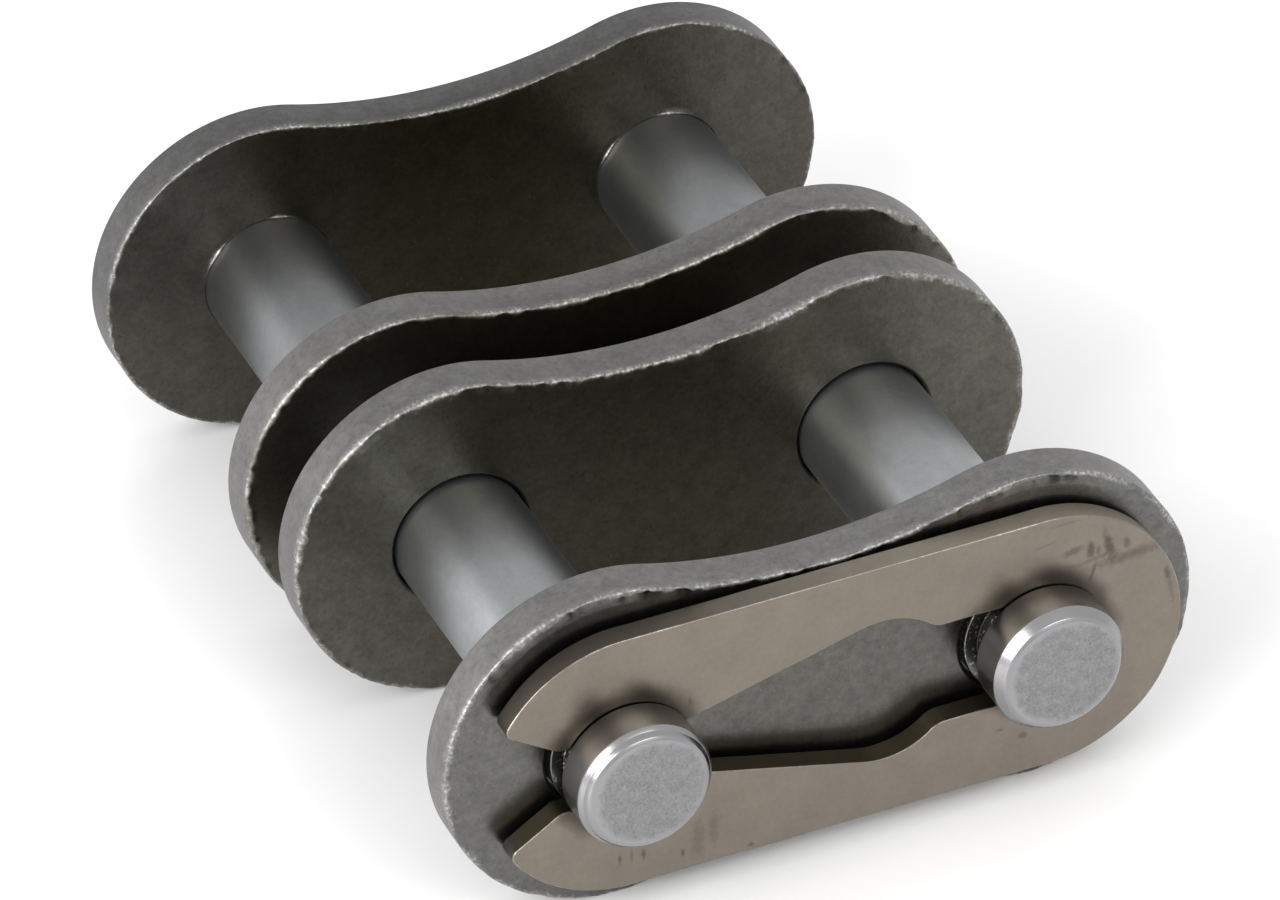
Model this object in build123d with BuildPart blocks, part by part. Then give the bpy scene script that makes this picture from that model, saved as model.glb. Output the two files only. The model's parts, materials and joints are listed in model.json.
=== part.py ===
from build123d import *
from math import asin, cos, hypot, radians, sin, sqrt, tan
import os

# Spring-clip connecting link of a duplex roller chain, 5/8 inch pitch.
#
# Two pins are riveted into the rear plate. Two middle plates and a cover plate slip over
# their free ends, and a flat spring clip snaps into a groove near each pin's tip.
#
# Frame: X runs along the chain and Z is up. Y runs along the pins, with the clip in front,
# on the -Y side. The link stands on the lower lobes of its plates, and the origin is under
# the middle of its overall length, width and depth.

# ---------------------------------------------------------------- driving dimensions, mm
pitch = 15.875  # from pin to pin

pin_diameter = 5.08
groove_diameter = 4.06  # bottom of the clip's groove
head_length = 1.37  # full diameter in front of the groove
tip_length = 0.45  # bevelled tip
tip_bevel = 0.34  # how far the bevel comes in from the pin's diameter
end_rounding = 0.35  # where the flat end meets the bevel
tip_rounding = 0.18  # where the bevel meets the head
land_length = 0.23  # full diameter between the groove and the cover plate
rivet_height = 1.0  # spun head behind the rear plate
rivet_diameter = 5.7
rivet_bevel = 0.45

plate_thickness = 1.7
plate_height = 12.9  # across a lobe
waist_height = 10.6  # across the waist
front_strand_gap = 12.05  # cover plate to front middle plate
middle_gap = 3.14  # between the two middle plates
rear_strand_gap = 11.99  # rear middle plate to rear plate
die_roll = 0.12  # bevel of the edge that the punch rolled over
bore_chamfer = 0.12

clip_thickness = 0.9
clip_width = 10.6
closed_end_reach = 5.48  # right pin's axis to the clip's closed end
belly_offset = 6.18  # right pin's axis to the middle of the belly
neck_gap = 2.1  # slot where it leaves the left seat
throat_gap = 2.7  # between the two lips
throat_reach = 2.6  # left pin's axis to the outer end of the throat
mouth_half_angle = 32.0  # each lip flares by this much, degrees
lip_rounding = 0.35
throat_rounding = 0.5
seat_corner_rounding = 0.3  # where the throat and the neck open into the left seat
channel_rounding = 0.9  # where the belly narrows into the channel
clip_edge_break = 0.07

# Fits, each on the radius or on one side.
slip_clearance = 0.08  # loose plates on the pins
seat_clearance = 0.06  # clip's seats round the grooves
groove_side_clearance = 0.05  # clip between the groove's walls
belly_clearance = 0.43  # pin head through the clip's belly

# ---------------------------------------------------------------- what follows from them
half_pitch = pitch / 2
pin_radius = pin_diameter / 2
groove_radius = groove_diameter / 2
axis_height = plate_height / 2

# Places along the pins, from the flat tip in front to the rivet heads at the back.
groove_width = clip_thickness + 2 * groove_side_clearance
stack_length = front_strand_gap + middle_gap + rear_strand_gap + 4 * plate_thickness
front_length = tip_length + head_length + groove_width + land_length
pin_length = front_length + stack_length + rivet_height

tip_y = -pin_length / 2
head_y = tip_y + tip_length
groove_front_y = head_y + head_length
groove_rear_y = groove_front_y + groove_width
cover_front_y = groove_rear_y + land_length
front_middle_front_y = cover_front_y + plate_thickness + front_strand_gap
rear_middle_front_y = front_middle_front_y + plate_thickness + middle_gap
rear_plate_front_y = rear_middle_front_y + plate_thickness + rear_strand_gap
rivet_y = rear_plate_front_y + plate_thickness


def upright_plane(y):
    # Faces the front: its own x is X and its own y is Z, measured from the pins' axes.
    return Plane(origin=(0, y, axis_height), x_dir=(1, 0, 0), z_dir=(0, -1, 0))


# ---------------------------------------------------------------- link plates
def link_plate(front_y, bore_radius):
    # Figure eight: a round lobe about each pin, and between them a waist of two hollow
    # arcs that leave the lobes without a corner.
    lobe_radius = plate_height / 2
    waist_half = waist_height / 2
    waist_radius = (half_pitch**2 + waist_half**2 - lobe_radius**2) / (2 * (lobe_radius - waist_half))
    lobe_share = lobe_radius / (lobe_radius + waist_radius)
    join_x = half_pitch * (1 - lobe_share)
    join_z = (waist_half + waist_radius) * lobe_share
    end_x = half_pitch + lobe_radius
    with BuildPart() as plate:
        with BuildSketch(upright_plane(front_y + plate_thickness)):
            with BuildLine():
                ThreePointArc((join_x, join_z), (end_x, 0), (join_x, -join_z))
                ThreePointArc((join_x, -join_z), (0, -waist_half), (-join_x, -join_z))
                ThreePointArc((-join_x, -join_z), (-end_x, 0), (-join_x, join_z))
                ThreePointArc((-join_x, join_z), (0, waist_half), (join_x, join_z))
            make_face()
            with Locations((-half_pitch, 0), (half_pitch, 0)):
                Circle(bore_radius, mode=Mode.SUBTRACT)
        extrude(amount=plate_thickness)
        # The punch went in from behind: it rolls that edge over and leaves the front one sharp.
        bores = plate.edges().filter_by(lambda edge: edge.geom_type == GeomType.CIRCLE and edge.is_closed)
        chamfer(bores, length=bore_chamfer)
        rear_face = plate.faces().filter_by(Axis.Y).sort_by(Axis.Y)[-1]
        chamfer(rear_face.outer_wire().edges(), length=die_roll)
    return plate


rear_plate = link_plate(rear_plate_front_y, pin_radius)
rear_middle_plate = link_plate(rear_middle_front_y, pin_radius + slip_clearance)
front_middle_plate = link_plate(front_middle_front_y, pin_radius + slip_clearance)
cover_plate = link_plate(cover_front_y, pin_radius + slip_clearance)


# ---------------------------------------------------------------- pins
def pin(x):
    # Turned from bar: half its profile, with Y along the sketch and the radius across it,
    # spun round the pin's axis.
    tip_face_radius = pin_radius - tip_bevel
    rivet_radius = rivet_diameter / 2
    end_y = rivet_y + rivet_height
    profile_plane = Plane(origin=(x, 0, axis_height), x_dir=(0, 1, 0), z_dir=(1, 0, 0))
    with BuildPart() as turned:
        with BuildSketch(profile_plane) as profile:
            with BuildLine():
                Polyline(
                    (tip_y, 0),
                    (tip_y, tip_face_radius),
                    (head_y, pin_radius),
                    (groove_front_y, pin_radius),
                    (groove_front_y, groove_radius),
                    (groove_rear_y, groove_radius),
                    (groove_rear_y, pin_radius),
                    (rivet_y, pin_radius),
                    (rivet_y, rivet_radius),
                    (end_y, rivet_radius),
                    (end_y, 0),
                    close=True,
                )
            make_face()
            end_rim = profile.vertices().sort_by_distance((tip_y, tip_face_radius))[0]
            fillet(end_rim, radius=end_rounding)
            bevel_rim = profile.vertices().sort_by_distance((head_y, pin_radius))[0]
            fillet(bevel_rim, radius=tip_rounding)
            rivet_rim = profile.vertices().sort_by_distance((end_y, rivet_radius))[0]
            chamfer(rivet_rim, length=rivet_bevel)
        revolve(axis=Axis((x, 0, axis_height), (0, 1, 0)))
    return turned


pin_left = pin(-half_pitch)
pin_right = pin(half_pitch)


# ---------------------------------------------------------------- spring clip
# A flat spring like a hairpin with two arms. Its closed end seats round the right pin's
# groove, and its two lips snap round the left one's. The slot between the arms widens from
# the neck to a round belly, which lets the right pin's head through, and runs on from there
# as a channel that guides the groove to its seat.
clip_radius = clip_width / 2
seat_radius = groove_radius + seat_clearance
belly_radius = pin_radius + belly_clearance
belly_x = half_pitch - belly_offset
closed_end_x = half_pitch + closed_end_reach - clip_radius
clip_rear_y = groove_rear_y - groove_side_clearance

# The slot's edges run from the neck's corners as tangents to the belly's circle.
neck_z = neck_gap / 2
neck_x = -half_pitch + sqrt(seat_radius**2 - neck_z**2)
neck_to_belly = hypot(belly_x - neck_x, neck_z)
slot_angle = asin(belly_radius / neck_to_belly) - asin(neck_z / neck_to_belly)
slot_end_x = belly_x - belly_radius * sin(slot_angle)
slot_end_z = belly_radius * cos(slot_angle)

# The channel leaves the belly where both are as wide.
channel_x = belly_x + sqrt(belly_radius**2 - seat_radius**2)

# The lips' flanks flare from the throat to well past the clip's open end.
throat_z = throat_gap / 2
throat_x = -half_pitch - throat_reach
throat_seat_x = -half_pitch - sqrt(seat_radius**2 - throat_z**2)
flare_x = -half_pitch - clip_width
flare_z = throat_z + (throat_x - flare_x) * tan(radians(mouth_half_angle))

with BuildPart() as spring_clip:
    with BuildSketch(upright_plane(clip_rear_y)) as clip_outline:
        with BuildLine():
            Line((-half_pitch, clip_radius), (closed_end_x, clip_radius))
            ThreePointArc(
                (closed_end_x, clip_radius),
                (closed_end_x + clip_radius, 0),
                (closed_end_x, -clip_radius),
            )
            Line((closed_end_x, -clip_radius), (-half_pitch, -clip_radius))
            ThreePointArc(
                (-half_pitch, -clip_radius),
                (-half_pitch - clip_radius, 0),
                (-half_pitch, clip_radius),
            )
        make_face()
        # Seats, belly, and the channel from the belly to the right seat.
        with Locations((-half_pitch, 0), (half_pitch, 0)):
            Circle(seat_radius, mode=Mode.SUBTRACT)
        with Locations((belly_x, 0)):
            Circle(belly_radius, mode=Mode.SUBTRACT)
        with Locations(((belly_x + half_pitch) / 2, 0)):
            Rectangle(half_pitch - belly_x, 2 * seat_radius, mode=Mode.SUBTRACT)
        # Slot, from the left seat through the neck to the belly.
        with BuildLine():
            Polyline(
                (-half_pitch, 0),
                (neck_x, neck_z),
                (slot_end_x, slot_end_z),
                (belly_x, 0),
                (slot_end_x, -slot_end_z),
                (neck_x, -neck_z),
                close=True,
            )
        make_face(mode=Mode.SUBTRACT)
        # Throat and flared mouth.
        with BuildLine():
            Polyline(
                (-half_pitch, throat_z),
                (throat_x, throat_z),
                (flare_x, flare_z),
                (flare_x, -flare_z),
                (throat_x, -throat_z),
                (-half_pitch, -throat_z),
                close=True,
            )
        make_face(mode=Mode.SUBTRACT)
        # Rounded corners, above and below the slot.
        lip_corner = clip_outline.vertices().sort_by(Axis.X)[0]
        for corner_x, corner_z, rounding in (
            (lip_corner.X, abs(lip_corner.Y), lip_rounding),
            (throat_x, throat_z, throat_rounding),
            (throat_seat_x, throat_z, seat_corner_rounding),
            (neck_x, neck_z, seat_corner_rounding),
            (channel_x, seat_radius, channel_rounding),
        ):
            upper = clip_outline.vertices().sort_by_distance((corner_x, corner_z))[0]
            lower = clip_outline.vertices().sort_by_distance((corner_x, -corner_z))[0]
            fillet((upper, lower), radius=rounding)
    extrude(amount=clip_thickness)
    flat_faces = spring_clip.faces().filter_by(Axis.Y).sort_by(Axis.Y)
    chamfer((flat_faces[0].edges(), flat_faces[-1].edges()), length=clip_edge_break)


# ---------------------------------------------------------------- one file for each piece
pieces = {
    "rear_plate": rear_plate,
    "pin_left": pin_left,
    "pin_right": pin_right,
    "rear_middle_plate": rear_middle_plate,
    "front_middle_plate": front_middle_plate,
    "cover_plate": cover_plate,
    "spring_clip": spring_clip,
}
os.makedirs("parts", exist_ok=True)
for name, piece in pieces.items():
    piece.part.label = name
    export_step(piece.part, f"parts/{name}.step")
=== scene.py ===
import json
import math

import bpy
import numpy as np
from mathutils import Matrix, Vector
from mathutils.geometry import delaunay_2d_cdt


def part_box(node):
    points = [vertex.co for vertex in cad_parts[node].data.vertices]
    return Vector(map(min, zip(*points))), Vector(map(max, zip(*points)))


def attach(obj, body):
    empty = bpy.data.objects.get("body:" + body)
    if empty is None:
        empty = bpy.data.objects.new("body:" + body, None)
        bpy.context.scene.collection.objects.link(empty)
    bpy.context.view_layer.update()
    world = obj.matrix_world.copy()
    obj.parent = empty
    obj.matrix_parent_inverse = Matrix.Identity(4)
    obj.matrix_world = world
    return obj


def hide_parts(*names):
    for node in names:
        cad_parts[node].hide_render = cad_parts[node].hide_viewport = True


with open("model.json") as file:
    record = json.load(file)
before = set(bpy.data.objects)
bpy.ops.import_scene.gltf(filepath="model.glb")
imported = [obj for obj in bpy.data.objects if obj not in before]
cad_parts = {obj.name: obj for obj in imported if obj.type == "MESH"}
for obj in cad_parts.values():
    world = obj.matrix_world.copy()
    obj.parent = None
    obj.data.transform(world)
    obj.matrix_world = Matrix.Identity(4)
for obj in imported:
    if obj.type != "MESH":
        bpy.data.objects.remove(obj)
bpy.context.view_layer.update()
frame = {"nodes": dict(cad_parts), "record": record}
mm = 0.001
quarter = math.pi / 2  # of a turn
print("frame loaded:", len(frame["nodes"]), "nodes")

# Main sizes, read from the frame: the tips' mounts give the pins' axes.
tipMounts = {mount["name"]: mount for mount in frame["record"]["mounts"]}
leftTip = tipMounts["pin_left_tip"]
halfPitch = -leftTip["pos_m"][0]
axisHeight = leftTip["pos_m"][2]
pinRadius = leftTip["dims"]["r_mm"] * mm
lobeRadius = axisHeight  # the plates stand on their lobes
pinTipY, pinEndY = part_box("pin_left")[0].y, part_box("pin_left")[1].y


def line(start, end):
    # Straight stretch: start + (end - start) * u, with u from 0 to 1.
    start, end = np.array(start), np.array(end)
    length = np.hypot(*(end - start))
    direction = (end - start) / length
    return length, lambda u: (start + np.outer(u, end - start), np.tile(direction, (len(u), 1)))


def arc(centre, radius, startAngle, endAngle):
    # Round stretch: centre + radius * (cos a, sin a), with a from startAngle to endAngle.
    turn = endAngle - startAngle

    def at(u):
        angle = startAngle + turn * u
        ray = np.stack([np.cos(angle), np.sin(angle)], 1)
        tangent = np.stack([-ray[:, 1], ray[:, 0]], 1) * np.sign(turn)
        return np.array(centre) + radius * ray, tangent
    return radius * abs(turn), at


def trace(stretches, spacing):
    # Points along a closed outline at about one spacing, and the outward normal at each, which is
    # the tangent turned a quarter to the right. A solid's outline runs anticlockwise, a hole's
    # clockwise.
    points, normals = [], []
    for length, at in stretches:
        count = max(2, round(length / spacing))
        point, tangent = at(np.arange(count) / count)
        points.append(point)
        normals.append(np.stack([tangent[:, 1], -tangent[:, 0]], 1))
    return np.concatenate(points), np.concatenate(normals)


def angleOf(point, centre):
    return math.atan2(point[1] - centre[1], point[0] - centre[0])


def ripple(count, wavelength, seed):
    # Smooth random wave round a closed outline: white noise whose spectrum falls off as a bell
    # curve, scaled to a spread of one. The wavelength is counted in points.
    noise = np.random.default_rng(seed).standard_normal(count)
    falloff = np.exp(-((np.fft.rfftfreq(count) * wavelength) ** 2) * 2)
    wave = np.fft.irfft(np.fft.rfft(noise) * falloff, count)
    return (wave - wave.mean()) / wave.std()


def rimStrip(points, normals, inset, depth):
    # A cross-section carried along an outline: each point moves inwards by its inset along the
    # normal and back by its depth. Both are arrays of outline points by cross-section points.
    xz = points[:, None, :] - normals[:, None, :] * inset[:, :, None]
    return np.stack([xz[..., 0], depth, xz[..., 1] + axisHeight], -1)


def stripFaces(rows, columns, offset):
    # Quads between neighbouring rows, the last row joined to the first.
    row, column = np.meshgrid(np.arange(rows), np.arange(columns - 1), indexing="ij")
    here = row * columns + column
    after = (row + 1) % rows * columns + column
    return np.stack([here, here + 1, after + 1, after], -1).reshape(-1, 4) + offset


def capFaces(vertices, loops, front):
    # Triangles that fill a flat face between its outline and its holes. The triangulation fills the
    # holes too: those triangles have all three corners on one hole and are left out.
    ring = np.concatenate([np.full(len(loop), number) for number, loop in enumerate(loops)])
    index = np.concatenate(loops)
    place = np.arange(len(index))
    following = np.concatenate([np.roll(place[ring == number], -1) for number in range(len(loops))])
    flat = vertices[index][:, [0, 2]] / mm
    found = delaunay_2d_cdt(flat.tolist(), np.stack([place, following], 1).tolist(), [], 1, 1e-7)
    triangles = np.array(found[2])
    onOneRing = (ring[triangles] == ring[triangles][:, :1]).all(1)
    inHole = onOneRing & (ring[triangles[:, 0]] > 0)
    triangles = index[triangles[~inHole]]
    return triangles if front else triangles[:, ::-1]


def makeMesh(name, vertices, quads, flats, attributes):
    # Quads are smooth, flats are flat triangles, and each attribute has a number for each vertex.
    mesh = bpy.data.meshes.new(name)
    mesh.from_pydata(vertices, [], [*quads.tolist(), *flats.tolist()])
    smooth = np.zeros(len(mesh.polygons), bool)
    smooth[:len(quads)] = True
    mesh.polygons.foreach_set("use_smooth", smooth)
    for title, values in attributes.items():
        attribute = mesh.attributes.new(title, "FLOAT", "POINT")
        attribute.data.foreach_set("value", values.astype(np.float32))
    mesh.update()
    piece = bpy.data.objects.new(name, mesh)
    bpy.context.scene.collection.objects.link(piece)
    return piece


def stampedPiece(name, outlines, section, frontY, seed):
    # A piece cut from flat strip: a rim strip round each outline, and two flat faces between them.
    parts, quads, frontLoops, rearLoops, edges, walls = [], [], [], [], [], []
    offset = 0
    for number, (points, normals) in enumerate(outlines):
        inset, depth, edge, wall = section(len(points), number, seed)
        rows, columns = inset.shape
        parts.append(rimStrip(points, normals, inset, frontY + depth).reshape(-1, 3))
        quads.append(stripFaces(rows, columns, offset))
        frontLoops.append(offset + np.arange(rows) * columns)
        rearLoops.append(offset + np.arange(rows) * columns + columns - 1)
        edges.append(edge.ravel())
        walls.append(wall.ravel())
        offset += rows * columns
    vertices = np.concatenate(parts)
    front, rear = capFaces(vertices, frontLoops, True), capFaces(vertices, rearLoops, False)
    attributes = {"edge": np.concatenate(edges), "wall": np.concatenate(walls)}
    return makeMesh(name, vertices, np.concatenate(quads), np.concatenate([front, rear]), attributes)


class Wire:
    # One socket of a shader. Arithmetic on it adds Math nodes.
    def __init__(self, tree, socket):
        self.tree, self.socket = tree, socket

    def node(self, kind, settings, sockets, output=0):
        # Any other node: its settings first, then the values or links of its sockets.
        made = self.tree.nodes.new(kind)
        for key, value in settings.items():
            setattr(made, key, value)
        for key, value in sockets.items():
            if isinstance(value, Wire):
                self.tree.links.new(value.socket, made.inputs[key])
            elif made.inputs[key].type == "RGBA":
                made.inputs[key].default_value = (*value, 1)
            else:
                made.inputs[key].default_value = value
        return Wire(self.tree, made.outputs[output])

    def maths(self, operation, first, second=0.0):
        return self.node("ShaderNodeMath", {"operation": operation}, {0: first, 1: second})

    def __add__(self, other): return self.maths("ADD", self, other)
    def __radd__(self, other): return self.maths("ADD", other, self)
    def __sub__(self, other): return self.maths("SUBTRACT", self, other)
    def __rsub__(self, other): return self.maths("SUBTRACT", other, self)
    def __mul__(self, other): return self.maths("MULTIPLY", self, other)
    def __rmul__(self, other): return self.maths("MULTIPLY", other, self)


class Finish(Wire):
    # A new material, which starts from its Principled shader.
    def __init__(self, name):
        self.material = bpy.data.materials.new(name)
        self.material.use_nodes = True
        self.tree = self.material.node_tree
        self.shader = self.tree.nodes["Principled BSDF"]
        self.place = self.node("ShaderNodeTexCoord", {}, {}, "Object")

    def attribute(self, name):
        return self.node("ShaderNodeAttribute", {"attribute_name": name}, {}, "Fac")

    def part(self, vector, axis):
        # One coordinate of a vector: "X", "Y" or "Z".
        return self.node("ShaderNodeSeparateXYZ", {}, {0: vector}, axis)

    def vector(self, operation, *inputs):
        # Vector maths. A length or a distance comes out as a plain value.
        output = "Value" if operation in ("LENGTH", "DISTANCE") else "Vector"
        sockets = dict(enumerate(inputs))
        return self.node("ShaderNodeVectorMath", {"operation": operation}, sockets, output)

    def noise(self, size, detail=2.0, roughness=0.6, stretch=(1, 1, 1)):
        # Cloudy noise whose blobs are about one size across, drawn out along an axis by stretch.
        scale = tuple(1 / (size * share) for share in stretch)
        scaled = self.node("ShaderNodeMapping", {"vector_type": "POINT"},
                           {"Vector": self.place, "Scale": scale})
        return self.node("ShaderNodeTexNoise", {}, {
            "Vector": scaled, "Scale": 1.0, "Detail": detail, "Roughness": roughness})

    def step(self, value, low, high, fromValue=0.0, toValue=1.0):
        # A smooth step between two thresholds.
        return self.node("ShaderNodeMapRange", {"interpolation_type": "SMOOTHSTEP"}, {
            "Value": value, "From Min": low, "From Max": high, "To Min": fromValue, "To Max": toValue})

    def mix(self, amount, first, second, blend="MIX"):
        # Sockets 6 and 7 of the Mix node are its two colours, and output 2 is the mixed one.
        return self.node("ShaderNodeMix", {"data_type": "RGBA", "blend_type": blend},
                         {0: amount, 6: first, 7: second}, 2)

    def shade(self, colour, factor):
        return self.node("ShaderNodeVectorMath", {"operation": "SCALE"}, {0: colour, "Scale": factor})

    def near(self, x, z, low, high, wander=0.0):
        # 1 within low of an axis along y through (x, z), and 0 past high. Wander makes the border
        # uneven.
        offset = self.vector("MULTIPLY_ADD", self.place, (1, 0, 1), (-x, 0, -z))
        return self.step(self.vector("LENGTH", offset) + wander, low, high, 1.0, 0.0)

    def bump(self, height, distance, strength):
        return self.node("ShaderNodeBump", {},
                         {"Height": height, "Distance": distance, "Strength": strength})

    def set(self, **sockets):
        names = {"colour": "Base Color", "rough": "Roughness", "metal": "Metallic", "normal": "Normal"}
        for key, value in sockets.items():
            socket = self.shader.inputs[names[key]]
            if isinstance(value, Wire):
                self.tree.links.new(value.socket, socket)
            else:
                socket.default_value = (*value, 1) if isinstance(value, tuple) else value
        return self.material


plate = {
    "waistHeight": 10.6 * mm,
    "dieRoll": 0.12 * mm,
    # width of the worn front corner, and how far the face falls back towards it
    "worn": {"rear_plate": (0.075 * mm, 0), "rear_middle_plate": (0.11 * mm, 0),
             "front_middle_plate": (0.13 * mm, 0), "cover_plate": (0.11 * mm, 0.03 * mm)},
    "nick": 0.025 * mm,  # depth of the odd dent in that corner
    "shearWave": 0.003 * mm,
    # places down the sheared wall, as shares of it, closest by the worn corner
    "wallPlaces": [0, 0.045, 0.15, 0.32, 0.49, 0.66, 0.83, 1],
    "rollSteps": 7,
    "collar": 0.10 * mm,  # height of the metal that the press fit raised round the tight bores
    # the raised places of the left and of the right bore: angle, spread, share of that height; they
    # lie where the light catches the collar, so its bare colour there is partly a painted highlight
    "collarPlaces": [((141, 15, 1), (76, 11, 0.8)), ((143, 16, 1), (77, 12, 0.8))],
    "boreChamfer": 0.12 * mm,
    "pressClearance": 0.002 * mm,
    "slipClearance": 0.08 * mm,
    "margin": 0.5 * mm,  # flat band round the faces
    "boreMargin": 0.3 * mm,
    "guard": 0.02 * mm,  # narrow ring that keeps a corner's smooth shading off the flat face
    "spacing": 0.055 * mm,
    "boreSpacing": 0.0825 * mm,
}
tightBore = pinRadius + plate["pressClearance"]
looseBore = pinRadius + plate["slipClearance"]


def plateOutlines(boreRadius):
    # Figure eight: a lobe about each pin, joined by hollow waist arcs that touch both lobes.
    waistHalf = plate["waistHeight"] / 2
    waistRadius = (halfPitch**2 + waistHalf**2 - lobeRadius**2) / (2 * (lobeRadius - waistHalf))
    waistCentre = waistHalf + waistRadius
    lobeTurn = math.atan2(waistCentre, -halfPitch)  # from a lobe's end to where the waist leaves it
    waistTurn = math.atan2(halfPitch, waistCentre)
    outer = [
        arc((halfPitch, 0), lobeRadius, -lobeTurn, lobeTurn),
        arc((0, waistCentre), waistRadius, -quarter + waistTurn, -quarter - waistTurn),
        arc((-halfPitch, 0), lobeRadius, math.pi - lobeTurn, math.pi + lobeTurn),
        arc((0, -waistCentre), waistRadius, quarter + waistTurn, quarter - waistTurn),
    ]
    bores = [[arc((x, 0), boreRadius, 0, -2 * math.pi)] for x in (-halfPitch, halfPitch)]
    return [trace(outer, plate["spacing"])] + [trace(bore, plate["boreSpacing"]) for bore in bores]


def boreSection(count, seed, thickness, collarPlaces):
    # A bore's wall from the front face to the rear one, with a chamfer at each end. Where there are
    # collar places, a ragged collar that stands out of the face replaces the front chamfer.
    chamfer, guard, margin = plate["boreChamfer"], plate["guard"], plate["boreMargin"]
    ones = np.ones((count, 1))
    inset = ones * [margin, chamfer + guard, chamfer, 0, 0, chamfer, chamfer + guard, margin]
    depth = ones * [0, 0, 0, chamfer, thickness - chamfer, thickness, thickness, thickness]
    edge = inset * 0
    wall = ones * [0, 0, 0.5, 0.5, 0.3, 0.3, 0, 0]
    if collarPlaces:
        # three points of the cross-section: the collar's foot, its flank and its top by the pin
        angle = 360 - np.arange(count) / count * 360
        share = sum(height * np.exp(-((angle - centre) / spread) ** 2)
                    for centre, spread, height in collarPlaces)
        share = (share * np.clip(1 + 0.2 * ripple(count, 8, seed + 7), 0.5, 1.3))[:, None]
        inset[:, 1:4] = np.array([0.09, 0.05, 0.01]) * mm
        depth[:, 1:4] = plate["collar"] * share * [0, -0.6, -1]
        # bare metal on the collar, partly a painted highlight where the light catches it
        edge[:, 1:4] = share * [0.2, 1, 1]
    return inset, depth, edge, wall


def rimSection(count, seed, thickness, sharpEdge, fall):
    # The outer rim from the front face to the rear one: a worn, nicked corner with a slight lip, a
    # sheared wall with faint waves, and a corner rolled over by the die, a quarter circle.
    ones = np.ones((count, 1))
    nicks = plate["nick"] * np.clip(ripple(count, 9, seed + 5) - 1.5, 0, 1)
    ragged = 1 + 0.25 * ripple(count, 30, seed) + 0.22 * ripple(count, 6, seed + 8)
    worn = (sharpEdge * np.clip(ragged, 0.35, 1.7) + nicks)[:, None]
    lip = sharpEdge * 0.2 * np.clip(ripple(count, 7, seed + 2), 0, 2)[:, None]
    down = np.array(plate["wallPlaces"])
    waves = np.stack([ripple(count, 60, seed + 10 + row) for row in range(len(down))], 1)
    waves = np.clip(plate["shearWave"] * (1 + waves), 0, None)
    die, margin = plate["dieRoll"], plate["margin"]
    roll = np.linspace(0, quarter, plate["rollSteps"] + 1)[1:]
    inset = np.concatenate([
        ones * margin, worn * [1.8, 1, 0.35], waves,
        ones * die * (1 - np.cos(roll)), ones * [die + plate["guard"], margin],
    ], 1)
    depth = np.concatenate([
        ones * [0, fall], fall - lip, fall + worn * 0.3,
        fall + worn + (thickness - die - fall - worn) * down,
        ones * (thickness - die + die * np.sin(roll)), ones * [thickness, thickness],
    ], 1)
    # bare metal: most on the worn corner, some where the die's roll begins
    edge = np.zeros_like(inset)
    edge[:, 1:6] = [0.05, 0.7, 1, 0.6, 0.25]
    edge[:, -8:-5] = 0.3
    edge *= np.clip(0.8 + 0.3 * ripple(count, 20, seed + 3)[:, None], 0.1, 1)
    # sheared wall, fading out over the roll
    wall = np.zeros_like(inset)
    wall[:, 4:-3] = 1
    wall[:, -6:-2] = [0.85, 0.6, 0.35, 0.15]
    return inset, depth, edge, wall


def makePlate(node, boreRadius, seed):
    low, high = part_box(node)
    thickness = high.y - low.y

    def section(count, number, seed):
        # outline 0 is the outer rim, 1 and 2 are the bores
        if number == 0:
            return rimSection(count, seed, thickness, *plate["worn"][node])
        collarPlaces = plate["collarPlaces"][number - 1] if boreRadius == tightBore else ()
        return boreSection(count, seed, thickness, collarPlaces)

    piece = stampedPiece(node + "_stamping", plateOutlines(boreRadius), section, low.y, seed)
    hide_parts(node)
    return piece


plates = {
    "rear_plate": makePlate("rear_plate", tightBore, 100),
    "rear_middle_plate": makePlate("rear_middle_plate", looseBore, 200),
    "front_middle_plate": makePlate("front_middle_plate", looseBore, 300),
    "cover_plate": makePlate("cover_plate", looseBore, 400),
}
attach(plates["rear_plate"], "base")
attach(plates["rear_middle_plate"], "rear_middle")
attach(plates["front_middle_plate"], "front_middle")
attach(plates["cover_plate"], "cover")
print("plates made:", sum(len(piece.data.polygons) for piece in plates.values()), "faces")


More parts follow.
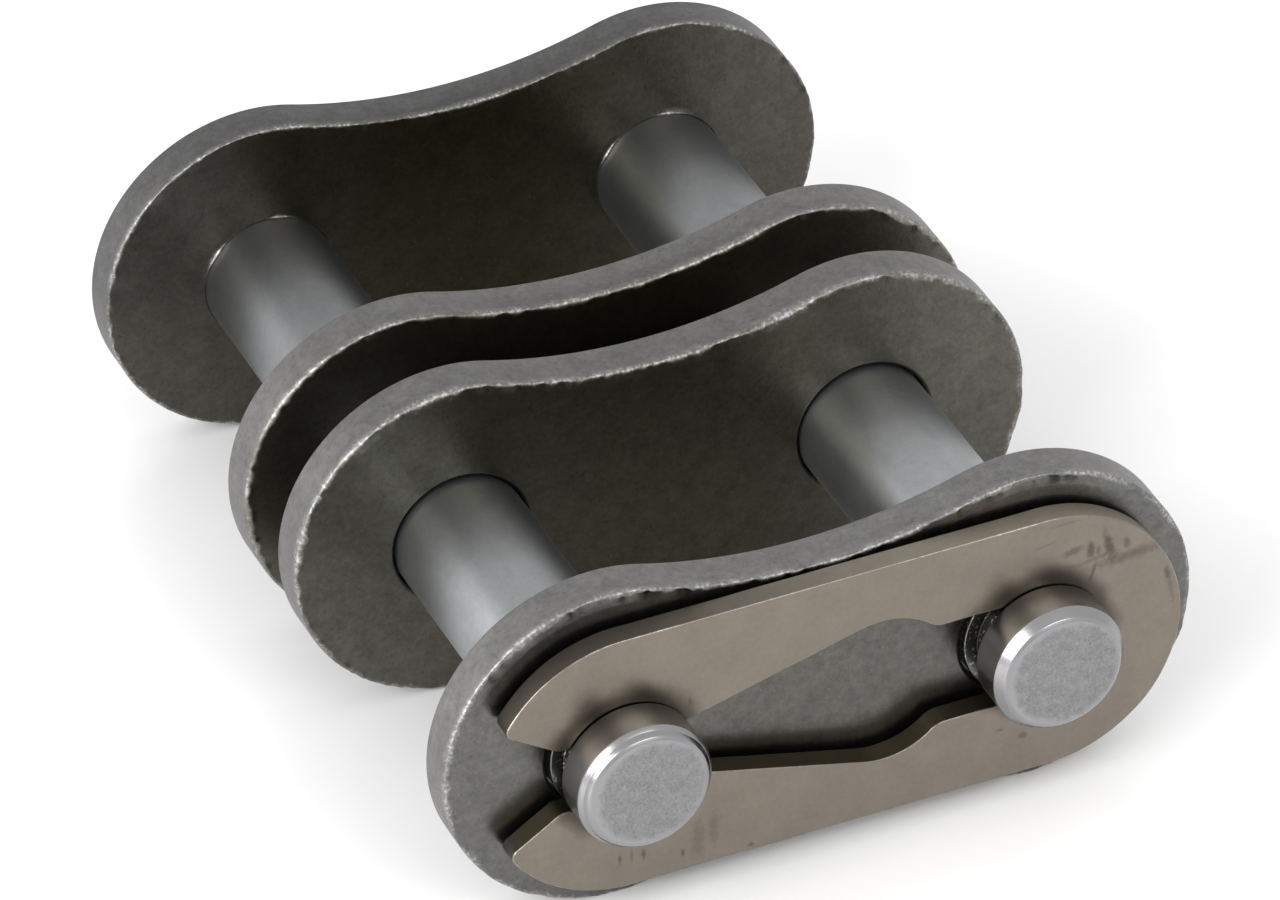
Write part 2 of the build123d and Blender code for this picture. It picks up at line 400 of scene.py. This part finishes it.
clip = {
    "grooveRadius": 2.03 * mm,
    "seatClearance": 0.06 * mm,
    "bellyRadius": 2.97 * mm,
    "bellyOffset": 6.18 * mm,  # right pin to belly
    "neckHalf": 1.05 * mm,
    "throatHalf": 1.35 * mm,
    "throatReach": 2.6 * mm,
    "mouthAngle": math.radians(32),
    "lipRounding": 0.35 * mm,
    "throatRounding": 0.5 * mm,
    "seatCornerRounding": 0.3 * mm,
    "channelRounding": 0.9 * mm,
    "edge": 0.04 * mm,  # width of the worn corners
    "guard": 0.02 * mm,
    "margin": 0.16 * mm,
    "spacing": 0.05 * mm,
    # scuffs, dents and stains on the face: middle, half length and half width in mm, angle, darkness
    "marks": [
        (11.4, 9.30, 1.40, 0.24, 4, 0.45), (9.9, 10.0, 0.16, 0.38, 0, 0.7),
        (10.62, 9.95, 0.17, 0.62, 12, 0.7), (11.3, 9.85, 0.15, 0.28, 8, 0.5),
        (9.2, 10.12, 0.42, 0.16, 8, 0.5), (10.2, 9.85, 0.10, 0.25, 0, 0.5),
        (10.05, 9.55, 0.9, 0.10, 5, 0.35), (9.95, 8.95, 0.07, 0.42, -22, 0.45),
        (12.87, 8.05, 0.12, 0.3, 12, 0.5), (13.02, 7.35, 0.10, 0.7, 8, 0.3),
        (8.1, 10.7, 0.5, 0.05, 6, 0.3), (8.9, 11.4, 0.6, 0.06, 0, 0.3),
        (-8.4, 2.4, 0.06, 0.22, 0, 0.7), (-7.95, 2.45, 0.06, 0.3, 0, 0.4),
        (-7.5, 2.35, 0.08, 0.25, 0, 0.6), (-6.0, 1.9, 0.08, 0.16, 0, 0.5),
        (-5.4, 2.35, 0.28, 0.85, 0, 0.28), (-4.8, 2.6, 0.18, 0.8, 0, 0.28),
        (-3.4, 1.4, 0.14, 0.10, 0, 0.6), (7.2, 2.74, 0.2, 0.14, 0, 0.5),
        (6.3, 3.26, 0.14, 0.08, 0, 0.5), (-5.54, 8.43, 0.06, 0.2, 0, 0.4),
        (-5.0, 7.6, 0.06, 0.2, 0, 0.3),
    ],
}
clipLow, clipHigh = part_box("spring_clip")
clipRadius = (clipHigh.z - clipLow.z) / 2
clipEndX = clipHigh.x - clipRadius  # centre of the closed end


def offsetMeetsCircle(point, direction, shift, centre, radius, ahead):
    # Where a line, moved sideways to its left by shift, meets a circle. Ahead picks the further
    # of the two places.
    direction = np.array(direction) / np.hypot(*direction)
    sideways = np.array([-direction[1], direction[0]])
    base = np.array(point) + shift * sideways - np.array(centre)
    along = -base @ direction
    half = math.sqrt(radius**2 - base @ base + along**2)
    return np.array(centre) + base + direction * (along + (half if ahead else -half))


def clipOutline():
    # Upper half, from the closed end over the top to the mouth and back along the slot. The lower
    # half is its mirror image.
    left, right = (-halfPitch, 0), (halfPitch, 0)
    seat = clip["grooveRadius"] + clip["seatClearance"]
    belly = (halfPitch - clip["bellyOffset"], 0)
    bellyRadius, neck, throat = clip["bellyRadius"], clip["neckHalf"], clip["throatHalf"]

    # the lip's flank rises outwards from the throat at the mouth's angle
    flankWay = (-math.cos(clip["mouthAngle"]), math.sin(clip["mouthAngle"]))
    flankNormal = np.array([flankWay[1], -flankWay[0]])  # into the lip
    throatCorner = (-halfPitch - clip["throatReach"], throat)
    lipRadius = clip["lipRounding"]
    lip = offsetMeetsCircle(throatCorner, flankWay, -lipRadius, left, clipRadius - lipRadius, True)
    lipStart = angleOf(lip, left)

    # rounding between the flank and the level throat
    tipRadius = clip["throatRounding"]
    slide = tipRadius * math.tan(clip["mouthAngle"] / 2)
    flankEnd = np.array(throatCorner) + slide * np.array(flankWay)
    tip = flankEnd + tipRadius * flankNormal
    corner = clip["seatCornerRounding"]
    throatCentre = offsetMeetsCircle((0, throat), (1, 0), corner, left, seat + corner, False)

    # slot side: touches the belly, and starts at the neck's corner
    neckX = -halfPitch + math.sqrt(seat**2 - neck**2)
    reach = math.hypot(belly[0] - neckX, neck)
    slope = math.asin(bellyRadius / reach) - math.asin(neck / reach)
    slotWay = (math.cos(slope), math.sin(slope))
    neckCentre = offsetMeetsCircle((neckX, neck), slotWay, corner, left, seat + corner, True)
    slotStart = neckCentre + corner * np.array([math.sin(slope), -math.cos(slope)])
    slotEnd = (belly[0] - bellyRadius * math.sin(slope), bellyRadius * math.cos(slope))

    # rounding between the belly and the guide channel
    channel = clip["channelRounding"]
    channelCentre = offsetMeetsCircle((0, seat), (1, 0), channel, belly, bellyRadius + channel, True)
    return [
        arc((clipEndX, 0), clipRadius, 0, quarter),
        line((clipEndX, clipRadius), (-halfPitch, clipRadius)),
        arc(left, clipRadius, quarter, lipStart),
        arc(lip, lipRadius, lipStart, angleOf(lip - flankNormal, lip) + 2 * math.pi),
        line(lip - lipRadius * flankNormal, flankEnd),
        arc(tip, tipRadius, angleOf(flankEnd, tip), -quarter),
        line((tip[0], throat), (throatCentre[0], throat)),
        arc(throatCentre, corner, -quarter, angleOf(left, throatCentre)),
        arc(left, seat, angleOf(throatCentre, left), angleOf(neckCentre, left)),
        arc(neckCentre, corner, angleOf(left, neckCentre) + 2 * math.pi, slope + 3 * quarter),
        line(slotStart, slotEnd),
        arc(belly, bellyRadius, quarter + slope, angleOf(channelCentre, belly)),
        arc(channelCentre, channel, angleOf(belly, channelCentre) + 2 * math.pi, 3 * quarter),
        line((channelCentre[0], seat), (halfPitch, seat)),
        arc(right, seat, quarter, 0),
    ]


def mirrored(stretches, spacing):
    # The upper half, the point on the middle line where it ends, and the lower half back to the
    # start.
    points, normals = trace(stretches, spacing)
    lastPoint, lastTangent = stretches[-1][1](np.array([1.0]))
    lastNormal = np.stack([lastTangent[:, 1], -lastTangent[:, 0]], 1)
    flip = np.array([1, -1])
    points = np.concatenate([points, lastPoint, points[:0:-1] * flip])
    normals = np.concatenate([normals, lastNormal, normals[:0:-1] * flip])
    return points, normals


def clipSection(count, number, seed):
    # The strip's cut edge, with a small worn corner in front and behind.
    thickness, guard, margin = clipHigh.y - clipLow.y, clip["guard"], clip["margin"]
    ones = np.ones((count, 1))
    worn = clip["edge"] * np.clip(1 + 0.25 * ripple(count, 40, seed), 0.5, 1.8)[:, None]
    inset = np.concatenate([
        ones * margin, worn + guard, worn, worn * 0.3, ones * [0, 0, 0, 0, 0],
        worn * 0.3, worn, worn + guard, ones * margin,
    ], 1)
    depth = np.concatenate([
        ones * [0, 0, 0], worn * 0.3, worn, worn + guard, ones * thickness * 0.5,
        thickness - worn - guard, thickness - worn, thickness - worn * 0.3,
        ones * [thickness, thickness, thickness],
    ], 1)
    edge = np.zeros_like(inset)
    edge[:, 2:5] = [0.5, 1, 0.6]
    edge *= np.clip(0.7 + 0.35 * ripple(count, 30, seed + 2)[:, None], 0.1, 1.2)
    wall = np.zeros_like(inset)
    wall[:, 4:10] = [1, 1, 1, 1, 1, 0.5]
    return inset, depth, edge, wall


clipLoop = mirrored(clipOutline(), clip["spacing"])
springClip = stampedPiece("spring_clip_strip", [clipLoop], clipSection, clipLow.y, 500)
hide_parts("spring_clip")
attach(springClip, "base")
print("spring clip made:", len(springClip.data.polygons), "faces")


pin = {
    "tipLength": 0.45 * mm,
    "tipBevel": 0.34 * mm,
    "crown": 0.02 * mm,  # how far the end bulges
    "breakWidth": 0.12 * mm,  # small chamfer between the end and the bevel
    "breakDepth": 0.095 * mm,
    "breakRim": 0.10 * mm,
    "headRim": 0.10 * mm,  # rounding between the bevel and the head
    "toolMark": {"pin_left": 0.010 * mm, "pin_right": 0},  # depth of a line turned into the bevel
    "toolMarkPlaces": (0.55, 0.6, 0.65),  # its two sides and its bottom, as shares of the bevel
    "headLength": 1.37 * mm,
    "grooveWidth": 1.0 * mm,
    "grooveCorner": 0.04 * mm,
    "shoulderCorner": 0.04 * mm,
    "sharpCorner": 0.015 * mm,
    "rivetRadius": 2.85 * mm,
    "rivetHeight": 1.0 * mm,
    "rivetBevel": 0.45 * mm,
    "around": 256,
}
pinHeadY = pinTipY + pin["tipLength"]
grooveY = pinHeadY + pin["headLength"]
shoulderY = grooveY + pin["grooveWidth"]


def roundedProfile(corners, steps=6):
    # A profile through corners (along, radius, rounding): each corner becomes an arc of its
    # rounding, worked out from the two directions that meet there.
    points = []
    for place, (along, radius, rounding) in enumerate(corners):
        here = np.array((along, radius))
        if rounding == 0 or place in (0, len(corners) - 1):
            points.append(here[None])
            continue
        toBefore = np.array(corners[place - 1][:2]) - here
        toAfter = np.array(corners[place + 1][:2]) - here
        toBefore, toAfter = toBefore / np.hypot(*toBefore), toAfter / np.hypot(*toAfter)
        half = math.acos(np.clip(toBefore @ toAfter, -1, 1)) / 2
        slide = rounding / math.tan(half)
        inwards = (toBefore + toAfter) / np.hypot(*(toBefore + toAfter))
        centre = here + inwards * rounding / math.sin(half)
        first, last = here + toBefore * slide - centre, here + toAfter * slide - centre
        share = np.linspace(0, 1, steps)[:, None]
        turn = math.pi - 2 * half
        ray = (np.sin((1 - share) * turn) * first + np.sin(share * turn) * last) / math.sin(turn)
        points.append(centre + ray)
    return np.concatenate(points)


def pinProfile(markDepth):
    # The turned profile from the middle of the tip to the middle of the riveted end. Plain points
    # beside a rounding keep the long walls straight.
    rivetY = pinEndY - pin["rivetHeight"]
    sharp = pin["sharpCorner"]
    bevelRadius = pinRadius - pin["tipBevel"]
    breakShare = pin["breakDepth"] / pin["tipLength"]
    faceRadius = bevelRadius + pin["tipBevel"] * breakShare - pin["breakWidth"]
    markStart, markBottom, markEnd = pin["toolMarkPlaces"]
    bevelPlaces = [(breakShare, 0, pin["breakRim"]),
                   (markStart, 0, 0), (markBottom, markDepth, 0), (markEnd, 0, 0)]
    bevel = [(pinTipY + pin["tipLength"] * share,
              bevelRadius + pin["tipBevel"] * share - depth, rounding)
             for share, depth, rounding in bevelPlaces]
    return roundedProfile([
        (pinTipY, 0, 0),
        (pinTipY + pin["crown"] * 0.25, faceRadius * 0.5, 0),
        (pinTipY + pin["crown"] * 0.6, faceRadius * 0.86, 0),
        (pinTipY + pin["crown"], faceRadius, pin["breakRim"]),
        *bevel,
        (pinHeadY, pinRadius, pin["headRim"]),
        (pinHeadY + 0.3 * mm, pinRadius, 0),
        (grooveY - 0.2 * mm, pinRadius, 0),
        (grooveY, pinRadius, sharp * 2),
        (grooveY, clip["grooveRadius"], pin["grooveCorner"]),
        (shoulderY, clip["grooveRadius"], pin["grooveCorner"]),
        (shoulderY, pinRadius, pin["shoulderCorner"]),
        (shoulderY + 0.1 * mm, pinRadius, 0),
        (shoulderY + 1.5 * mm, pinRadius, 0),
        (rivetY - 0.1 * mm, pinRadius, 0),
        (rivetY, pinRadius, sharp * 2),
        (rivetY, pin["rivetRadius"], sharp),
        (pinEndY - pin["rivetBevel"], pin["rivetRadius"], pin["rivetBevel"] * 0.4),
        (pinEndY, pin["rivetRadius"] - pin["rivetBevel"], pin["rivetBevel"] * 0.4),
        (pinEndY, pin["rivetRadius"] * 0.5, 0),
        (pinEndY, 0, 0),
    ])


def makePin(node, bodyX):
    # Turned: each point of the profile goes round the axis, x = radius * cos a, z = radius * sin a.
    # A fan of triangles closes each end.
    y, radius = pinProfile(pin["toolMark"][node])[1:-1].T
    angle = np.arange(pin["around"]) / pin["around"] * 2 * math.pi
    x = bodyX + np.outer(np.cos(angle), radius)
    z = axisHeight + np.outer(np.sin(angle), radius)
    grid = np.stack([x, np.tile(y, (len(angle), 1)), z], -1).reshape(-1, 3)
    poles = np.array([[bodyX, pinTipY, axisHeight], [bodyX, pinEndY, axisHeight]])
    vertices = np.concatenate([grid, poles])
    quads = stripFaces(len(angle), len(y), 0)
    first = np.arange(len(angle)) * len(y)
    after = np.roll(first, -1)
    last = len(y) - 1
    tipFan = np.stack([first, after, np.full_like(first, len(grid))], 1)
    endFan = np.stack([after + last, first + last, np.full_like(first, len(grid) + 1)], 1)
    nearby = pin["shoulderCorner"] * 1.2
    corner = (np.abs(y - shoulderY) < nearby) & (radius > pinRadius - nearby)
    edge = np.append(np.tile(corner, len(angle)), [0, 0])
    fans = np.concatenate([tipFan, endFan])
    piece = makeMesh(node + "_turned", vertices, quads, fans, {"edge": edge})
    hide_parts(node)
    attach(piece, "base")
    return piece


pins = [makePin("pin_left", -halfPitch), makePin("pin_right", halfPitch)]
print("pins made:", sum(len(piece.data.polygons) for piece in pins), "faces")


def tinted(colour, *tones):
    # A colour times a tone, or times a tone for each channel.
    return tuple(part * tone for part, tone in zip(colour, tones * 3))


# The shade tint and tone multiply the colours of the face and the wall between the pins: painted
# shade.
plateTones = {
    "rear_plate": {"face": (0.098, 0.091, 0.081), "middleTint": (0.57, 0.55, 0.36),
                   "wall": (0.122, 0.120, 0.119), "middleTone": 0.72, "roughness": 0.34},
    "rear_middle_plate": {"face": (0.140, 0.133, 0.110), "middleTint": (0.74, 0.71, 0.58),
                          "wall": (0.176, 0.171, 0.168), "middleTone": 0.75, "roughness": 0.34},
    "front_middle_plate": {"face": (0.115, 0.109, 0.096), "middleTint": (0.74, 0.71, 0.58),
                           "wall": (0.169, 0.165, 0.162), "middleTone": 0.88, "roughness": 0.34},
    "cover_plate": {"face": (0.128, 0.125, 0.123), "middleTint": (0.88, 0.87, 0.83),
                    "wall": (0.186, 0.182, 0.179), "middleTone": 0.98, "roughness": 0.29},
}
plateLook = {
    "fleck": (0.30, 0.29, 0.28),
    "fineSize": 0.09 * mm,
    "grainSize": 0.24 * mm,
    "blotchSize": 0.8 * mm,
    "hueSize": 0.7 * mm,
    "fleckSize": 0.10 * mm,
    "pitSize": 0.14 * mm,
    "wearSize": 0.15 * mm,
    "wallRoughness": 0.48,
    "bumpHeight": 0.02 * mm,
}
bareEdge = (0.48, 0.475, 0.46)


def plateFinish(node):
    # Dark oxide scale, greyer where the edge was sheared, bare along the worn corner, with painted
    # shade between the pins.
    tones = plateTones[node]
    steel = Finish("plateOxide_" + node)
    wall, edge = steel.attribute("wall"), steel.attribute("edge")
    fine = steel.noise(plateLook["fineSize"])
    grain = steel.noise(plateLook["grainSize"])
    blotch = steel.noise(plateLook["blotchSize"], 3.0)
    hue = steel.step(steel.noise(plateLook["hueSize"], 3.0, 0.5), 0.2, 0.8)
    face, side = tones["face"], tones["wall"]
    face = steel.mix(hue, tinted(face, 1.03, 1.0, 0.96), tinted(face, 0.97, 1.01, 1.01))
    side = steel.mix(hue, tinted(side, 1.04, 0.98, 1.02), tinted(side, 0.96, 1.01, 0.97))

    # painted shade: darker between the pins, most of all on the front face
    low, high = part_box(node)
    across, depth = steel.part(steel.place, "X"), steel.part(steel.place, "Y")
    shadeShare = steel.step(depth, low.y + 0.3 * mm, high.y - 0.3 * mm, 1.0, 0.25)
    middle = steel.step(steel.maths("ABSOLUTE", across), 1 * mm, 13 * mm, 1.0, 0.0) * shadeShare
    waist = steel.mix(middle, face, tones["middleTint"], "MULTIPLY")
    body = steel.mix(wall, waist, steel.shade(side, 1 - middle * (1 - tones["middleTone"])))

    # uneven scale with pale flecks and dark pits
    body = steel.shade(body, 0.225 + fine * 0.3 + grain * 0.6 + blotch * 0.65)
    flecks = steel.step(steel.noise(plateLook["fleckSize"]), 0.66, 0.76)
    body = steel.mix(flecks * 0.3, body, plateLook["fleck"])
    pits = steel.step(steel.noise(plateLook["pitSize"]), 0.34, 0.26)
    body = steel.shade(body, 1 - pits * 0.45)

    broken = steel.step(steel.noise(plateLook["wearSize"]), 0.45, 0.65)
    # painted shade: the worn corner is a little duller between the pins
    bare = edge * (0.3 + broken * 0.7) * (1 - middle * 0.15)
    rough = tones["roughness"]
    return steel.set(
        colour=steel.mix(bare, body, bareEdge), metal=1.0,
        rough=rough + steel.maths("MAXIMUM", edge, wall) * (plateLook["wallRoughness"] - rough),
        normal=steel.bump(fine * 0.5 + grain * 0.5, plateLook["bumpHeight"], 0.45))


pinLook = {
    "body": (0.272, 0.282, 0.288),
    # colour of the painted shade in the groove
    "groove": (0.055, 0.053, 0.049),
    "head": (0.285, 0.280, 0.286),
    "side": (0.375, 0.362, 0.353),
    "rim": (0.300, 0.300, 0.306),
    "end": (0.244, 0.245, 0.249),
    "fleck": (0.42, 0.42, 0.43),
    "endRadius": (1.84 * mm, 2.14 * mm),  # between these the dull end turns into the bright bevel
    "endOffset": 0.1 * mm,
    "mottleSize": 0.35 * mm,
    "satinSize": 0.09 * mm,
    "stainSize": 1.1 * mm,
    "crumbSize": 0.13 * mm,
    "chipSize": 0.17 * mm,
    "dentSize": 0.13 * mm,
    "bumpHeight": 0.012 * mm,
}


def pinFinish():
    # Ground and satin, with a polished head and a duller end, painted shade in the groove and painted
    # light and shade on the body.
    steel = Finish("pinSatin")
    edge = steel.attribute("edge")
    across, along = steel.part(steel.place, "X"), steel.part(steel.place, "Y")
    head = steel.step(along, grooveY + 0.02 * mm, grooveY - 0.02 * mm)
    # painted shade over the groove and the land behind it
    groove = steel.step(along, shoulderY + 0.5 * mm, shoulderY + 0.2 * mm)
    bevel = steel.step(along, pinHeadY + 0.04 * mm, pinHeadY)
    front = steel.step(along, pinTipY + 0.05 * mm, pinTipY + 0.03 * mm)
    rim = steel.step(along, pinTipY + 0.14 * mm, pinTipY + 0.11 * mm)
    mottle = steel.noise(pinLook["mottleSize"], 3.0, 0.65)
    satin = steel.noise(pinLook["satinSize"], 3.0)
    stain = steel.noise(pinLook["stainSize"], 3.0, 0.6, (1, 2, 1))
    wander = (mottle - 0.5) * 0.3 * mm
    leftEnd, rightEnd = [
        steel.near(pinX + pinLook["endOffset"], axisHeight, *pinLook["endRadius"], wander)
        for pinX in (-halfPitch, halfPitch)]
    end = (leftEnd + rightEnd) * front

    # painted light and shade: lighter towards the front and darker towards the plates, a little
    # lighter on the right pin, a painted reflection on the left flank of that pin, and painted shade
    # on the right flank of both
    lightAndShade = steel.step(along, 14 * mm, -14 * mm, 0.86, 1.22)
    lightAndShade = lightAndShade * steel.step(across, -1 * mm, 1 * mm, 0.98, 1.08)
    slant = steel.part(steel.node("ShaderNodeNewGeometry", {}, {}, "Normal"), "X")
    flankReflection = steel.step(slant, -0.55, -0.9, 0, 0.3) * steel.step(across, -1 * mm, 1 * mm)
    lightAndShade = lightAndShade * (1 + flankReflection - steel.step(slant, 0.3, 0.75, 0, 0.22))
    body = steel.mix(satin, tinted(pinLook["body"], 0.9), tinted(pinLook["body"], 1.1))
    body = steel.shade(body, lightAndShade * (0.72 + stain * 0.36 + mottle * 0.2))

    # painted glints: bright crumbs of bare metal in the groove's painted shade
    crumbGlints = steel.step(steel.noise(pinLook["crumbSize"], 1.0, 0.5), 0.64, 0.67)
    body = steel.mix(groove, body, steel.mix(crumbGlints, pinLook["groove"], bareEdge))

    # chipped and dented end
    dull = steel.shade(pinLook["end"], 0.3 + mottle * 0.6 + satin * 0.8)
    chips = steel.step(steel.noise(pinLook["chipSize"]), 0.60, 0.66)
    dents = steel.step(steel.noise(pinLook["dentSize"]), 0.34, 0.28)
    dull = steel.shade(steel.mix(chips * 0.2, dull, pinLook["fleck"]), 1 - dents * 0.3)

    polished = steel.mix(rim, pinLook["head"], pinLook["rim"])
    polished = steel.mix(bevel, steel.shade(pinLook["side"], 0.7 + stain * 0.6), polished)
    colour = steel.mix(end, steel.mix(head, body, polished), dull)
    return steel.set(
        colour=steel.mix(edge * 0.28, colour, bareEdge), metal=1.0,
        rough=0.38 - head * 0.1 - bevel * 0.04 + end * 0.2 - edge * 0.1,
        normal=steel.bump(mottle * end + satin * 0.12, pinLook["bumpHeight"], 0.5))


clipLook = {
    "face": (0.201, 0.176, 0.147),
    "wall": (0.220, 0.198, 0.160),
    "slotWall": (0.099, 0.085, 0.053),
    "edge": (0.42, 0.39, 0.34),
    # colour of the painted shade and reflection round the pins
    "grime": (0.030, 0.027, 0.020),
    "grimeRadius": (2.6 * mm, 3.4 * mm),
    "grimeOffset": (-0.15 * mm, 0.2 * mm),
    "fineSize": 0.07 * mm,
    "grainSize": 0.22 * mm,
    "blotchSize": 1.2 * mm,
    "wearSize": 0.3 * mm,
    "bumpHeight": 0.01 * mm,
}


def clipMarks(steel, grain):
    # Each mark is an oval with a border that the grain frays.
    marks = 0.0
    for x, z, length, width, angle, darkness in clip["marks"]:
        placing = {"Vector": steel.place, "Location": (x * mm, 0, z * mm),
                   "Rotation": (0, -math.radians(angle), 0), "Scale": (length * mm, 1, width * mm)}
        spot = steel.node("ShaderNodeMapping", {"vector_type": "TEXTURE"}, placing)
        spread = steel.vector("LENGTH", spot) + (grain - 0.5) * 1.2
        marks = steel.step(spread, 0.2, 1.5, darkness * 0.7, 0.0) + marks
    return steel.maths("MINIMUM", marks, 0.75)


def clipFinish():
    # Spring strip with a straw temper, duller on the cut edge and bright along the worn corner, with
    # painted shade and reflection round the pins and painted shade on the walls of the slot and the
    # mouth.
    steel = Finish("clipStraw")
    wall, edge = steel.attribute("wall"), steel.attribute("edge")
    fine = steel.noise(clipLook["fineSize"])
    grain = steel.noise(clipLook["grainSize"])
    blotch = steel.noise(clipLook["blotchSize"], 3.0, 0.55)

    # Painted shade: the slot's and the mouth's walls are darker, their worn corners duller. They lie
    # nearer than the outer wall to the middle line, which runs from the left pin to the centre of the
    # closed end.
    within = steel.vector("MINIMUM", steel.place, (clipEndX, 1, axisHeight))
    within = steel.vector("MAXIMUM", within, (-halfPitch, -1, axisHeight))
    reach = steel.vector("DISTANCE", steel.place, within)
    shadeShare = steel.step(reach, clipRadius - 0.9 * mm, clipRadius - 0.2 * mm, 1.0, 0.0)
    across = steel.part(steel.place, "X")
    # painted light and shade: the outer wall darker towards the mouth and lighter towards the closed
    # end
    outerWallLightRamp = steel.shade(clipLook["wall"], steel.step(across, -10 * mm, 14 * mm, 0.45, 1.5))
    body = steel.mix(wall, clipLook["face"], steel.mix(shadeShare, outerWallLightRamp, clipLook["slotWall"]))
    body = steel.shade(body, 0.70 + fine * 0.15 + grain * 0.2 + blotch * 0.25)

    # painted shade and reflection of the pin heads, set up and to the left of each pin
    grime = 0.0
    offsetX, offsetZ = clipLook["grimeOffset"]
    wander = (blotch - 0.5) * 0.6 * mm
    for pinX in (-halfPitch, halfPitch):
        ring = steel.near(pinX + offsetX, axisHeight + offsetZ, *clipLook["grimeRadius"], wander)
        grime = ring + grime
    body = steel.mix(grime * (0.55 + blotch * 0.5), body, clipLook["grime"])
    body = steel.shade(body, 1 - clipMarks(steel, grain) * (1 - wall))

    broken = steel.step(steel.noise(clipLook["wearSize"]), 0.35, 0.6)
    # painted shade: the worn corner is duller on the walls of the slot and the mouth
    bare = edge * (0.15 + broken * 0.45) * (1 - shadeShare * 0.5)
    return steel.set(
        colour=steel.mix(bare, body, clipLook["edge"]), metal=1.0,
        rough=0.29 - edge * 0.04 + wall * 0.2,
        normal=steel.bump(fine, clipLook["bumpHeight"], 0.3))


for node, piece in plates.items():
    piece.data.materials.append(plateFinish(node))
pinMaterial = pinFinish()
for piece in pins:
    piece.data.materials.append(pinMaterial)
springClip.data.materials.append(clipFinish())
print("finishes made")


def directionTo(azimuth, elevation):
    # Azimuth 0 is in front (-y) and grows towards the right.
    return Vector((math.sin(azimuth) * math.cos(elevation), -math.cos(azimuth) * math.cos(elevation),
                   math.sin(elevation)))


view = {
    "azimuth": math.radians(-22.455),
    "elevation": math.radians(35.237),
    "roll": math.radians(-2.049),
    "distance": 365.5 * mm,
    "target": Vector((-0.690, -1.6775, 7.722)) * mm,
    "lens": 285.1,
    "sensorWidth": 36,
    "nearest": 0.01,
    "furthest": 10,
}


def makeCamera():
    azimuth, roll = view["azimuth"], view["roll"]
    back = directionTo(azimuth, view["elevation"])
    level = Vector((math.cos(azimuth), math.sin(azimuth), 0))
    upward = back.cross(level)
    right = level * math.cos(roll) + upward * math.sin(roll)
    up = upward * math.cos(roll) - level * math.sin(roll)
    camera = bpy.data.objects.new("camera", bpy.data.cameras.new("camera"))
    camera.data.lens = view["lens"]
    camera.data.sensor_width = view["sensorWidth"]
    camera.data.clip_start, camera.data.clip_end = view["nearest"], view["furthest"]
    turn = Matrix((right, up, back)).transposed().to_4x4()
    camera.matrix_world = Matrix.Translation(view["target"] + back * view["distance"]) @ turn
    bpy.context.scene.collection.objects.link(camera)
    bpy.context.scene.camera = camera


room = {
    "floorSize": 1.2,
    "floorColour": (0.85, 0.85, 0.85),
    "floorRoughness": 0.3,
    "skyColour": (1, 1, 1, 1),
    "skyLevel": 1.0,
    "lampDistance": 0.5,
}
lamps = [
    {"name": "keyLamp", "azimuth": -61, "elevation": 28, "size": (0.32, 0.32), "power": 2.13},
    {"name": "sideLamp", "azimuth": -125, "elevation": 15, "size": (0.32, 0.32), "power": 0.32},
    {"name": "topLamp", "azimuth": 16, "elevation": 40, "size": (0.28, 0.18), "power": 0.60},
]


def makeFloor():
    size = room["floorSize"]
    corners = [(-size, -size, 0), (size, -size, 0), (size, size, 0), (-size, size, 0)]
    mesh = bpy.data.meshes.new("floor")
    mesh.from_pydata(corners, [], [(0, 1, 2, 3)])
    floor = bpy.data.objects.new("floor", mesh)
    bpy.context.scene.collection.objects.link(floor)
    mesh.materials.append(
        Finish("paleFloor").set(colour=room["floorColour"], rough=room["floorRoughness"]))


def makeSky():
    world = bpy.data.worlds.new("studio")
    bpy.context.scene.world = world
    world.use_nodes = True
    background = world.node_tree.nodes["Background"]
    background.inputs["Color"].default_value = room["skyColour"]
    background.inputs["Strength"].default_value = room["skyLevel"]


def makeLamp(lamp):
    light = bpy.data.lights.new(lamp["name"], "AREA")
    light.shape, light.energy = "RECTANGLE", lamp["power"]
    light.size, light.size_y = lamp["size"]
    made = bpy.data.objects.new(lamp["name"], light)
    away = directionTo(math.radians(lamp["azimuth"]), math.radians(lamp["elevation"]))
    made.location = away * room["lampDistance"]
    made.rotation_mode = "QUATERNION"
    made.rotation_quaternion = away.to_track_quat("Z", "Y")
    bpy.context.scene.collection.objects.link(made)


makeCamera()
makeFloor()
makeSky()
for lamp in lamps:
    makeLamp(lamp)
bpy.context.scene.view_settings.view_transform = "Standard"
print("camera, floor and light made")

bpy.context.view_layer.update()
